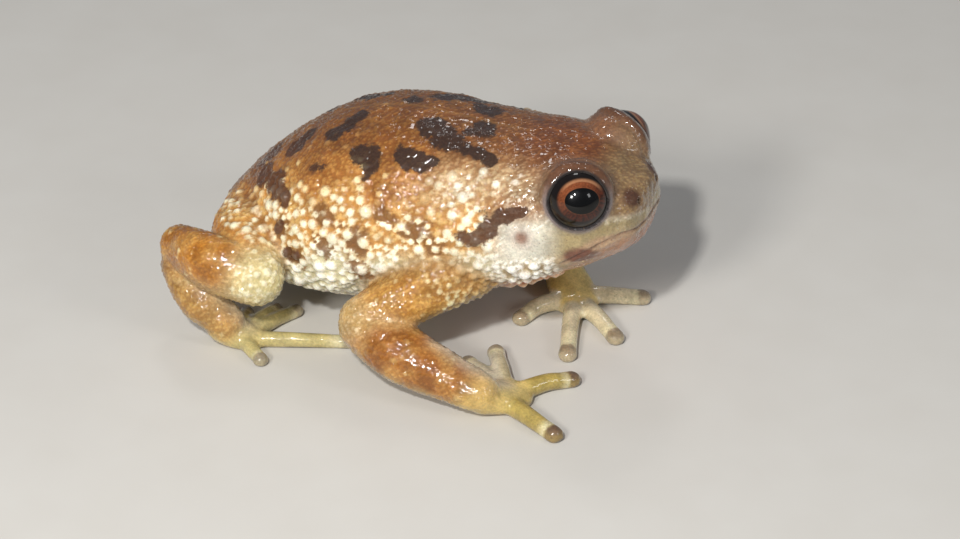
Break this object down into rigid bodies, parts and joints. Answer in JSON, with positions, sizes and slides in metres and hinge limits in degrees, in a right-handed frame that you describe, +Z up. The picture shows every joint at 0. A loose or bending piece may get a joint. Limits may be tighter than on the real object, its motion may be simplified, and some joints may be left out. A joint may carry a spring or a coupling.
{
  "type": "mazumbai warty frog",
  "caption": "Stout, short-snouted frog at rest with raised chest, large side-facing eyes, warty flanks, arms bent and blunt-tipped fingers and toes spread flat.",
  "frame": {"origin": "middle of the bounding box, on the floor under the frog", "axes": "+X towards the snout, +Y to the frog's left, +Z up"},
  "size_m": [0.0369, 0.0257, 0.019],
  "materials": {
    "skin_back": "moist",
    "skin_throat": "moist",
    "skin_limb": "moist",
    "skin_digit": "moist",
    "eye": "wet gloss"
  },
  "bodies": {
    "root": {"head": "skin_back", "jaw": "skin_throat", "torso": "skin_back", "eye_right": "eye", "eye_left": "eye", "upper_arm_right": "skin_limb", "forearm_right": "skin_limb", "palm_right": "skin_digit", "finger_1_right": "skin_digit", "finger_2_right": "skin_digit", "finger_3_right": "skin_digit", "finger_4_right": "skin_digit", "thigh_right": "skin_limb", "shank_right": "skin_limb", "ankle_right": "skin_limb", "sole_right": "skin_digit", "toe_1_right": "skin_digit", "toe_2_right": "skin_digit", "toe_3_right": "skin_digit", "toe_4_right": "skin_digit", "toe_5_right": "skin_digit", "upper_arm_left": "skin_limb", "forearm_left": "skin_limb", "palm_left": "skin_digit", "finger_1_left": "skin_digit", "finger_2_left": "skin_digit", "finger_3_left": "skin_digit", "finger_4_left": "skin_digit", "thigh_left": "skin_limb", "shank_left": "skin_limb", "ankle_left": "skin_limb", "sole_left": "skin_digit", "toe_1_left": "skin_digit", "toe_2_left": "skin_digit", "toe_3_left": "skin_digit", "toe_4_left": "skin_digit", "toe_5_left": "skin_digit"}
  },
  "joints": []
}
